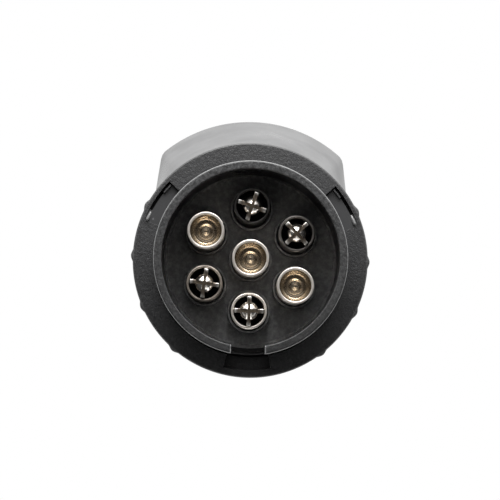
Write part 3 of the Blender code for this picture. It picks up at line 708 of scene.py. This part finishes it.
def make_tube_contacts():
    tip = CONTACT_TIP
    for node in nodes_named("tube_contact"):
        centre = cad_centre(node)
        mouth = [(0.0, tip + 4.4, 0.0), (0.45, tip + 4.75, 0.1), (1.25, tip + 4.95, 0.1),
                 (1.8, tip + 4.5, 0.18), (2.15, tip + 4.95, 0.1), (2.4, tip + 4.9, 0.1),
                 (2.8, tip + 4.35, 0.15), (3.05, tip + 4.55, 0.1), (3.35, tip + 1.4, 0.3)]
        outside = [(3.62, tip, 0.16), (4.25, tip, 0.2), (4.25, NOSE_FLOOR - 0.3, 0.0),
                   (2.0, NOSE_FLOOR - 0.3, 0.0), (2.0, CONTACT_END, 0.2), (0.0, CONTACT_END, 0.0)]
        corners = mouth + outside
        # The brass runs from the mouth's floor to the middle of the rounded lip
        inner = (len(mouth) - 1) * (FILLET_STEPS + 1) + 3
        tube = turned("tube_" + node[13:], corners, [PALE_NICKEL, BRASS], 96, (centre.x, centre.z),
                      slots=lambda index: 1 if index < inner else 0)
        on_housing(tube, node)


PIN_DOME_R = 2.15
PIN_SLOT = 0.72
PIN_SLOT_DEPTH = 1.7
PIN_ARM = 0.95
PIN_REACH = 3.35
PIN_TWIST = {"top": -18.0, "upper_right": 45.0, "lower_left": -7.0, "bottom": 0.0}


def box_mesh(name, low, high):
    bm = bmesh.new()
    bmesh.ops.create_cube(bm, size=1.0)
    size = Vector(high) - Vector(low)
    middle = (Vector(high) + Vector(low)) / 2
    bmesh.ops.scale(bm, vec=size, verts=bm.verts)
    bmesh.ops.translate(bm, vec=middle, verts=bm.verts)
    return mesh_piece(name, bm, [], weighted=False)


def boolean(target, tool, operation="DIFFERENCE"):
    modifier = target.modifiers.new(tool.name, "BOOLEAN")
    modifier.operation = operation
    modifier.solver = "EXACT"
    modifier.object = tool


def freeze(obj):
    """Applies an object's modifiers."""
    graph = bpy.context.evaluated_depsgraph_get()
    graph.update()
    mesh = bpy.data.meshes.new_from_object(obj.evaluated_get(graph))
    obj.modifiers.clear()
    obj.data = mesh


def drop(*objects):
    for obj in objects:
        bpy.data.objects.remove(obj, do_unlink=True)


def edge_round(obj, width_mm):
    modifier = obj.modifiers.new("edges", "BEVEL")
    modifier.width = width_mm * MM
    modifier.segments = 3
    modifier.limit_method = "ANGLE"
    modifier.angle_limit = math.radians(40.0)


def make_pin_contacts():
    tip = CONTACT_TIP
    for place, twist in PIN_TWIST.items():
        node = "pin_contact_" + place
        centre = cad_centre(node)
        dome = [(0.0, tip, 0.0), (0.5, tip + 0.06, 0.2), (1.7, tip + 0.95, 0.5), (PIN_DOME_R, tip + 1.7, 0.5),
                (PIN_DOME_R, NOSE_FLOOR - 0.3, 0.0), (2.0, NOSE_FLOOR - 0.3, 0.0),
                (2.0, CONTACT_END, 0.2), (0.0, CONTACT_END, 0.0)]
        pin = turned("pin_" + place, dome, NICKEL, 72, steps=8)
        pin.modifiers.clear()
        half = PIN_SLOT / 2
        slots = [box_mesh("slot", (-3.0, tip - 1, -half), (3.0, tip + PIN_SLOT_DEPTH, half)),
                 box_mesh("slot", (-half, tip - 1, -3.0), (half, tip + PIN_SLOT_DEPTH, 3.0))]
        for tool in slots:
            boolean(pin, tool)
        freeze(pin)
        drop(*slots)
        edge_round(pin, 0.1)
        pin.data.shade_smooth()

        half = PIN_ARM / 2
        top = tip + PIN_SLOT_DEPTH - 0.05
        fins = box_mesh("fins_" + place, (-PIN_REACH, top, -half), (PIN_REACH, NOSE_FLOOR - 1.5, half))
        other = box_mesh("other", (-half, top, -PIN_REACH), (half, NOSE_FLOOR - 1.5, PIN_REACH))
        boolean(fins, other, "UNION")
        freeze(fins)
        drop(other)
        fins.data.materials.append(WORN)
        edge_round(fins, 0.14)
        fins.data.shade_smooth()

        for piece in (pin, fins):
            piece.rotation_euler = (0.0, -math.radians(twist), 0.0)
            piece.location = (centre.x * MM, 0.0, centre.z * MM)
        sleeve = turned("sleeve_" + place, [(3.55, tip + 2.5, 0.26), (4.17, tip + 2.5, 0.26),
                                            (4.17, NOSE_FLOOR - 0.3, 0.0), (3.55, NOSE_FLOOR - 0.3, 0.0)],
                        SLEEVES[place], 96, (centre.x, centre.z))
        for piece, stands_for in ((pin, node), (fins, None), (sleeve, "pin_sleeve_" + place)):
            on_housing(piece, stands_for)


# --- rear housing

SHIELD_R = 27.0
HOOD_APEX = 38.0
HOOD_CORNER = (23.4, 29.0)
HOOD_END = 56.0
HOUSING_FRONT_R = 26.4
BARREL_BORE = 18.5
LEDGE_BORE = 15.0
LEDGE_END = 37.7
GROOVE_R = 19.9
GROOVE_HALF = 6.33
GROOVE_START = 51.0
GROOVES = (30.0, 150.0, 270.0)
GRIP_Y = (24.0, 50.0)
GRIP_ANGLES = [-46.0 + 6.5 * k for k in range(8)]
GRIP_HALF = 1.9
GRIP_DEPTH = 0.5
SNAP_ARMS = GROOVES


def shield_radius(degrees):
    """Distance from the axis to the housing's rear outline: round below, straight flanks, arched top."""
    corner_x, corner_z = HOOD_CORNER
    corner = math.atan2(corner_z, corner_x)
    rise = HOOD_APEX - corner_z
    arch_r = (corner_x ** 2 + rise ** 2) / (2 * rise)
    arch_z = HOOD_APEX - arch_r
    angle = math.radians(degrees % 360)
    folded = math.radians(mirrored(degrees))
    tangent = corner - math.acos(SHIELD_R / math.hypot(corner_x, corner_z))
    if folded >= corner:
        return arch_z * math.sin(angle) + math.sqrt(arch_r ** 2 - (arch_z * math.cos(angle)) ** 2)
    if tangent < folded < corner:
        return SHIELD_R / math.cos(folded - tangent)
    return SHIELD_R


def soft_shield(degrees, spread=1.6):
    """The shield outline with its corners rounded by averaging over a small angle."""
    samples = 9
    offsets = [spread * (2 * k / (samples - 1) - 1) for k in range(samples)]
    return sum(shield_radius(degrees + off) for off in offsets) / samples


def grip_depth(degrees, y):
    """Depth of the finger grooves in both flanks of the housing."""
    along = smooth((y - GRIP_Y[0]) / 1.6) * smooth((GRIP_Y[1] - y) / 1.6)
    off = min(abs(mirrored(degrees) - angle) for angle in GRIP_ANGLES) / GRIP_HALF
    return GRIP_DEPTH * along * smooth((1.0 - off) / 0.6)


def make_housing():
    start, end = HOUSING_START, HOUSING_END
    levels = set(round(start + 0.35 + (HOOD_END - start - 0.35) * k / 24, 3) for k in range(25))
    for edge, side in ((GRIP_Y[0], 1), (GRIP_Y[1], -1)):
        levels.update(round(edge + side * step, 3) for step in (0.0, 0.4, 0.8, 1.2, 1.6))
    stations = [(y, 0.0) for y in sorted(levels)]
    stations += [(HOOD_END + 0.5, 0.03), (end - 0.8, 0.05), (end - 0.35, 0.2), (end - 0.1, 0.45), (end, 0.85)]
    angles = set(round(1.5 * i, 3) for i in range(240))
    for groove in GROOVES:
        for mark in near([groove - GROOVE_HALF, groove + GROOVE_HALF], (0.02, 0.4)):
            angles.add(round(mark, 3))
    for angle in GRIP_ANGLES:
        for k in range(-5, 6):
            angles.update(both_sides(angle + GRIP_HALF * k / 5))
    columns = []
    for degrees in sorted(angles):
        outline = soft_shield(degrees)
        column = [(24.5, start), (HOUSING_FRONT_R - 0.35, start)]
        for y, inset in stations:
            share = min(1.0, (y - start) / (HOOD_END - start))
            radius = HOUSING_FRONT_R + (outline - HOUSING_FRONT_R) * share - inset
            column.append((radius - grip_depth(degrees, y), y))
        grooved = min(abs((degrees - groove + 180) % 360 - 180) for groove in GROOVES) < GROOVE_HALF
        bore = GROOVE_R if grooved else BARREL_BORE
        column += [(bore + 1.2, end), (bore + 0.4, end), (bore + 0.12, end - 0.12), (bore, end - 0.4),
                   (bore, GROOVE_START), (BARREL_BORE, GROOVE_START - 0.02), (BARREL_BORE, LEDGE_END),
                   (LEDGE_BORE, LEDGE_END), (LEDGE_BORE, 34.0), (24.0, 33.0), (24.5, 20.0)]
        columns.append(around(column, degrees))
    housing = skinned("hooded_housing", columns, HOOD)
    on_housing(housing, "rear_housing")
    for degrees in SNAP_ARMS:
        on_housing(snap_arm(f"snap_arm_{degrees:.0f}", degrees))
    for side, label in ((-1, "left"), (1, "right")):
        on_housing(hinge_ear("hinge_ear_" + label, side))


def snap_arm(name, middle):
    """An arm of the housing that grips the collar from inside, ending behind the collar's plate."""
    outline = [(23.2, 6.4), (25.4, 6.7), (25.4, 8.0), (24.6, 8.3), (24.6, 15.0), (23.2, 15.0)]
    rows = [around(outline, middle - 8.5 + 17.0 * k / 8) for k in range(9)]
    return skinned(name, rows, SMOOTH, capped=True)


# --- hinge and lid

HINGE = (63.3, 31.8)
EAR_X = (9.1, 12.7)
EAR_R = 3.2
PIN_R = 1.2
PIN_HOLE_R = 1.55
PIN_HEAD = (1.9, 13.0, 14.0)
KNUCKLE_R = 2.9
LID_Y = (60.7, 66.0)
LID_R = 25.3
LID_GROOVE = (21.3, 23.7, 1.3)
LID_RECESS = (20.8, 2.8)
TONGUE_HALF = 8.7
TAB = ((-6.0, 62.2, -27.0), (6.0, 65.2, -23.1))
SPRING_COIL = (2.2, 3.3, 5)
SPRING_WIRE = 0.35


def prism(name, outline, low, high, axis, edge_mm):
    """An outline pushed along an axis, with its edges rounded and the rounding applied."""
    rows = [[(level, a, b) if axis == "X" else (a, level, b) for a, b in outline] for level in (low, high)]
    piece = skinned(name, rows, [], capped=True, weighted=False)
    edge_round(piece, edge_mm)
    freeze(piece)
    return piece


def rod(name, radius, low, high, centre, segments=48, edge_mm=0.0):
    """A round bar along X."""
    bm = bmesh.new()
    turn(bm, rounded([(0.0, low, 0.0), (radius, low, edge_mm), (radius, high, edge_mm), (0.0, high, 0.0)], 3),
         segments, centre, "X", closed=False)
    return mesh_piece(name, bm, [], weighted=False)


def carve(target, tools, operation="DIFFERENCE"):
    """Applies boolean tools to a piece and removes them."""
    for tool in tools:
        boolean(target, tool, operation)
    freeze(target)
    drop(*tools)


def finished(piece, materials, sharp=35.0):
    """Material and clean shading for a piece cut from solids."""
    if not piece.data.materials:
        for item in materials:
            piece.data.materials.append(item)
    piece.data.shade_smooth()
    piece.data.set_sharp_from_angle(angle=math.radians(sharp))
    modifier = piece.modifiers.new("weighted", "WEIGHTED_NORMAL")
    modifier.keep_sharp = True
    return piece


def hinge_ear(name, side):
    """A lug of the housing that carries one end of the hinge pin."""
    hinge_y, hinge_z = HINGE
    outline = [(HOUSING_END - 0.6, hinge_z - 4.2), (HOUSING_END - 0.6, hinge_z + 2.6)]
    for k in range(13):
        u, v = polar(EAR_R, 10.0 * k)
        outline.append((hinge_y + v, hinge_z + u))
    low, high = sorted(side * x for x in EAR_X)
    ear = prism(name, outline, low, high, "X", 0.35)
    carve(ear, [rod("ear_hole", PIN_HOLE_R, low - 1, high + 1, HINGE)])
    return finished(ear, [SMOOTH])


def make_lid():
    hinge_y, hinge_z = HINGE
    inner, outer = LID_Y
    groove_in, groove_out, groove = LID_GROOVE
    recess_r, recess = LID_RECESS
    face = outer - 0.5
    corners = [
        (0.0, inner + recess, 0.0), (9.6, inner + recess, 0.1), (9.8, inner + recess - 0.6, 0.15),
        (10.8, inner + recess - 0.6, 0.15), (11.0, inner + recess, 0.1), (recess_r, inner + recess, 0.3),
        (recess_r, inner, 0.2), (groove_in, inner, 0.1), (groove_in, inner + groove, 0.1),
        (groove_out, inner + groove, 0.1), (groove_out, inner, 0.2), (LID_R, inner, 0.4), (LID_R, outer, 1.3),
        (21.4, outer, 0.3), (20.9, face, 0.3), (0.0, face, 0.0),
    ]
    textured_from = sum(FILLET_STEPS + 1 if size > 0 else 1 for _, _, size in corners[:-1]) - 1
    lid = turned("lid_shell", corners, [SMOOTH, TEXTURED], weighted=False,
                 slots=lambda index: 1 if index >= textured_from else 0)
    arc = [polar(LID_R - 1.2, 90 + 21.0 * share) for share in (1.0, 0.5, 0.0, -0.5, -1.0)]
    tongue = prism("lid_tongue", arc + [(TONGUE_HALF, hinge_z), (-TONGUE_HALF, hinge_z)],
                   inner + 0.03, outer - 0.6, "Y", 0.4)
    low, high = TAB
    tab = prism("lid_tab", [(low[0], low[2]), (high[0], low[2]), (high[0] - 0.8, high[2]),
                            (low[0] + 0.8, high[2])], low[1], high[1], "Y", 0.7)
    knuckle = rod("lid_knuckle", KNUCKLE_R, -TONGUE_HALF, TONGUE_HALF, HINGE, 64, 0.3)
    ridges = [rod("tab_ridge", 0.4, -4.6, 4.6, (high[1], z), 20, 0.3) for z in (-26.2, -25.2, -24.2)]
    carve(lid, [tongue, tab, knuckle, *ridges], "UNION")
    slot = box_mesh("spring_slot", (-4.3, inner - 1, 27.4), (4.3, hinge_y + 4, hinge_z + 4))
    carve(lid, [slot, rod("knuckle_hole", PIN_HOLE_R, -EAR_X[1], EAR_X[1], HINGE)])
    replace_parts(finished(lid, [SMOOTH]), "lid")
    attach(lid, "lid")

    low, high = cad_box("lid_gasket")
    seal = turned("lid_seal", [(21.7, low.y, 0.5), (high.x, low.y, 0.5), (high.x, high.y, 0.2),
                               (21.7, high.y, 0.2)], RUBBER)
    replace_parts(seal, "lid_gasket")
    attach(seal, "lid")


def make_hinge():
    head_r, head_low, head_high = PIN_HEAD
    bm = bmesh.new()
    half = [(PIN_R, head_low, 0.0), (head_r, head_low, 0.1), (head_r, head_high, 0.45), (0.0, head_high, 0.0)]
    profile = rounded([(r, -x, size) for r, x, size in reversed(half)] + half, 4)
    turn(bm, profile, 48, HINGE, "X", closed=False)
    pin = mesh_piece("hinge_rod", bm, STEEL)
    on_housing(pin, "hinge_pin")

    coil_r, half_length, turns = SPRING_COIL
    steps = 28
    total = turns * steps + steps // 2
    y, z = HINGE
    points = [(-half_length, y - coil_r, z - 2.6), (-half_length, y - coil_r, z - 1.0)]
    for i in range(total + 1):
        u, v = polar(coil_r, 180 + 360 * i / steps)
        points.append((-half_length + 2 * half_length * i / total, y + u, z - v))
    points += [(half_length, y + coil_r, z - 1.0), (half_length, y + coil_r, z - 2.6)]
    on_housing(swept_tube("torsion_spring", points, SPRING_WIRE, 10, STEEL), "lid_spring")


def swept_tube(name, points, radius, sides, material):
    """A closed tube of round section along a row of points."""
    path = [Vector(point) for point in points]
    side = (path[1] - path[0]).orthogonal()
    rings = []
    for i, point in enumerate(path):
        along = (path[min(i + 1, len(path) - 1)] - path[max(i - 1, 0)]).normalized()
        side = (side - along * side.dot(along)).normalized()
        up = along.cross(side)
        section = [polar(radius, 360 * k / sides) for k in range(sides)]
        rings.append([point + side * u + up * v for u, v in section])
    return skinned(name, rings, material, capped=True, weighted=False)


# --- thirteen-pin socket and inner parts

SOCKET_HOLE_R = 2.2
SCREW_HOLE_R = 1.7
SCREW_SEAT = 1.3
INSERT_SCREWS = 3


def make_socket():
    low, high = cad_box("socket_insert")
    start, end, radius = low.y, high.y, high.x
    outline = [(0.0, start, 0.0), (radius, start, 0.2), (radius, end, 0.5), (15.3, end, 0.1),
               (15.1, end - 0.4, 0.1), (14.8, end - 0.4, 0.1), (14.6, end, 0.1), (0.0, end, 0.0)]
    insert = turned("socket_face", outline, [], 128, steps=3, weighted=False)
    cutters = bmesh.new()
    for node in nodes_named("socket_contact"):
        centre = cad_centre(node)
        turn(cutters, [(0.0, start - 1), (SOCKET_HOLE_R, start - 1), (SOCKET_HOLE_R, end - 0.3),
                       (SOCKET_HOLE_R + 0.3, end), (SOCKET_HOLE_R + 0.3, end + 1), (0.0, end + 1)],
             40, (centre.x, centre.z), closed=False)
    for number in range(1, INSERT_SCREWS + 1):
        centre = cad_centre(f"insert_screw_{number}")
        turn(cutters, [(0.0, end - SCREW_SEAT), (SCREW_HOLE_R, end - SCREW_SEAT), (SCREW_HOLE_R, end + 1),
                       (0.0, end + 1)], 32, (centre.x, centre.z), closed=False)
        turn(cutters, [(0.0, start - 1), (1.1, start - 1), (1.1, end - SCREW_SEAT - 0.02),
                       (0.0, end - SCREW_SEAT - 0.02)], 24, (centre.x, centre.z), closed=False)
    carve(insert, [mesh_piece("insert_holes", cutters, [], weighted=False)])
    on_housing(finished(insert, [INSERT]), "socket_insert")

    for node in nodes_named("socket_contact"):
        low, high = cad_box(node)
        centre = cad_centre(node)
        outer = (high.x - low.x) / 2
        corners = [(0.0, low.y, 0.0), (1.0, low.y, 0.15), (1.0, start, 0.1), (outer, start, 0.2),
                   (outer, high.y - 2.2, 0.1), (outer - 0.15, high.y - 2.1, 0.1),
                   (outer - 0.15, high.y - 1.7, 0.1), (outer, high.y - 1.6, 0.1), (outer, high.y, 0.25),
                   (1.3, high.y, 0.2), (1.3, high.y - 9.0, 0.0), (0.0, high.y - 9.6, 0.0)]
        contact = turned("socket_tube_" + node[-2:], corners, BRASS, 48, (centre.x, centre.z), 3)
        on_housing(contact, node)


def make_screws():
    for node in nodes_named("insert_screw") + nodes_named("retainer_screw"):
        low, high = cad_box(node)
        centre = cad_centre(node)
        head = high.y - 1.0
        outline = [(0.0, low.y, 0.0), (0.8, low.y, 0.15), (0.8, head, 0.0), (1.4, head, 0.1),
                   (1.4, head + 0.6, 0.2), (0.9, high.y, 0.3), (0.0, high.y, 0.0)]
        screw = turned("dressed_" + node, outline, [], 40, steps=4, closed=False, weighted=False)
        arms = [box_mesh("recess", (-0.8, high.y - 0.5, -0.16), (0.8, high.y + 1, 0.16)),
                box_mesh("recess", (-0.16, high.y - 0.5, -0.8), (0.16, high.y + 1, 0.8))]
        carve(screw, arms)
        finished(screw, [STEEL])
        screw.location = (centre.x * MM, 0.0, centre.z * MM)
        screw.rotation_euler = (0.0, math.radians(17.0 + 31.0 * len(node)), 0.0)
        on_housing(screw, node)


def make_inner_parts():
    low, high = cad_box("body_gasket")
    middle = (low.y + high.y) / 2
    gasket = turned("body_seal", [(25.4, low.y, 0.2), (high.x, low.y, 0.45), (high.x - 0.25, middle, 0.2),
                                  (high.x, high.y, 0.45), (25.4, high.y, 0.2)], RUBBER)
    on_housing(gasket, "body_gasket")
    for node in nodes_named("jumper_wire"):
        tube = node.replace("jumper_wire", "tube_contact")
        start = cad_centre(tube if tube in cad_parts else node.replace("jumper_wire", "pin_contact"))
        low, high = cad_box(node)
        end = [low[axis] + 1.0 if high[axis] - start[axis] < start[axis] - low[axis] else high[axis] - 1.0
               for axis in (0, 2)]
        points = []
        for i in range(17):
            share = i / 16
            blend = smooth(share)
            points.append((start.x + (end[0] - start.x) * blend, low.y + (high.y - low.y) * share,
                           start.z + (end[1] - start.z) * blend))
        on_housing(swept_tube("insulated_" + node, points, 1.0, 16, WIRE), node)


# --- the rest of the CAD nodes


def dress_nodes():
    """Gives each CAD node that stays visible its finish."""
    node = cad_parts["contact_retainer"]
    node.data.materials.clear()
    node.data.materials.append(INSERT)


# --- studio


# Strength of the light from the horizon and from above, in front of the connector and behind it
STUDIO_FRONT = (0.07, 1.9)
STUDIO_BACK = (1.0, 1.65)
FLOOR_X = 1200.0
FLOOR_Y = (-120.0, 1300.0)
FLOOR_Z = -300.0


def make_studio():
    """A graded surround that lights the connector, seen by the camera as plain white, and a pale floor."""
    scene = bpy.context.scene
    world = bpy.data.worlds.new("studio")
    scene.world = world
    world.use_nodes = True
    nodes = world.node_tree.nodes
    links = world.node_tree.links
    background = nodes["Background"]
    direction = nodes.new("ShaderNodeTexCoord").outputs["Generated"]
    split = nodes.new("ShaderNodeSeparateXYZ")
    links.new(direction, split.inputs["Vector"])

    def spread(output, start, end, low, high):
        node = nodes.new("ShaderNodeMapRange")
        node.interpolation_type = "SMOOTHSTEP"
        set_inputs(node, {"From Min": start, "From Max": end, "To Min": low, "To Max": high})
        links.new(output, node.inputs["Value"])
        return node.outputs["Result"]

    front = spread(split.outputs["Z"], 0.15, 0.75, STUDIO_FRONT[0], STUDIO_FRONT[1])
    back = spread(split.outputs["Z"], 0.0, 0.5, STUDIO_BACK[0], STUDIO_BACK[1])
    blend = nodes.new("ShaderNodeMix")
    links.new(spread(split.outputs["Y"], -0.1, 0.35, 0.0, 1.0), blend.inputs["Factor"])
    links.new(front, blend.inputs["A"])
    links.new(back, blend.inputs["B"])
    links.new(blend.outputs["Result"], background.inputs["Strength"])
    white = nodes.new("ShaderNodeBackground")
    set_inputs(white, {"Strength": 1.0})
    for node in (background, white):
        set_inputs(node, {"Color": (1.0, 1.0, 1.0, 1.0)})
    mix = nodes.new("ShaderNodeMixShader")
    links.new(nodes.new("ShaderNodeLightPath").outputs["Is Camera Ray"], mix.inputs["Fac"])
    links.new(background.outputs["Background"], mix.inputs[1])
    links.new(white.outputs["Background"], mix.inputs[2])
    links.new(mix.outputs["Shader"], nodes["World Output"].inputs["Surface"])

    floor = bmesh.new()
    near_y, far_y = FLOOR_Y
    corners = [(-FLOOR_X, near_y, 0.0), (FLOOR_X, near_y, 0.0), (FLOOR_X, far_y, 0.0), (-FLOOR_X, far_y, 0.0)]
    floor.faces.new([floor.verts.new(corner) for corner in corners])
    floor = mesh_piece("studio_floor", floor, floor_finish(), (0.0, 0.0, FLOOR_Z), weighted=False)

    softbox("overhead_softbox", (0.0, -0.2, 0.46), (0.45, 0.3), 6.0)
    scene.view_settings.view_transform = "Standard"


def floor_finish():
    finish = Finish("pale_floor", (0.75, 0.75, 0.75), 0.7)
    cloud = finish.noise(90.0, 2.0)
    finish.colour(finish.ramp(cloud, [(0.3, (0.74, 0.74, 0.74)), (0.7, (0.76, 0.76, 0.76))]))
    return finish.material


def softbox(name, place, size, power):
    light = bpy.data.lights.new(name, "AREA")
    light.shape = "RECTANGLE"
    light.size, light.size_y = size
    light.energy = power
    lamp = bpy.data.objects.new(name, light)
    lamp.location = place
    lamp.rotation_euler = (-Vector(place)).to_track_quat("-Z", "Y").to_euler()
    bpy.context.scene.collection.objects.link(lamp)


CAMERA_DISTANCE = 500.0
CAMERA_LENS = 158.1
CAMERA_BELOW = 2.5
CAMERA_LEFT = 0.3
CAMERA_ROLL = 1.7
AIM_OFFSET = (0.14, 1.82)


def make_camera():
    """The camera looks almost straight at the plug's face, from a little below its axis."""
    camera = bpy.data.cameras.new("camera")
    camera.lens = CAMERA_LENS
    camera.sensor_width = 36.0
    low = math.radians(CAMERA_BELOW)
    left = math.radians(CAMERA_LEFT)
    back = Vector((-math.sin(left) * math.cos(low), -math.cos(left) * math.cos(low), -math.sin(low)))
    roll = Matrix.Rotation(math.radians(CAMERA_ROLL), 4, "Z")
    turn_to = (-back).to_track_quat("-Z", "Y").to_matrix().to_4x4() @ roll
    aim = Vector((0.0, CONTACT_TIP, 0.0)) + turn_to.to_3x3() @ Vector((-AIM_OFFSET[0], AIM_OFFSET[1], 0.0))
    turn_to.translation = (aim + back * CAMERA_DISTANCE) * MM
    obj = bpy.data.objects.new("camera", camera)
    obj.matrix_world = turn_to
    bpy.context.scene.collection.objects.link(obj)
    bpy.context.scene.camera = obj


make_camera()
make_studio()
make_nose()
make_collar()
make_tube_contacts()
make_pin_contacts()
make_housing()
make_lid()
make_hinge()
make_socket()
make_screws()
make_inner_parts()
dress_nodes()
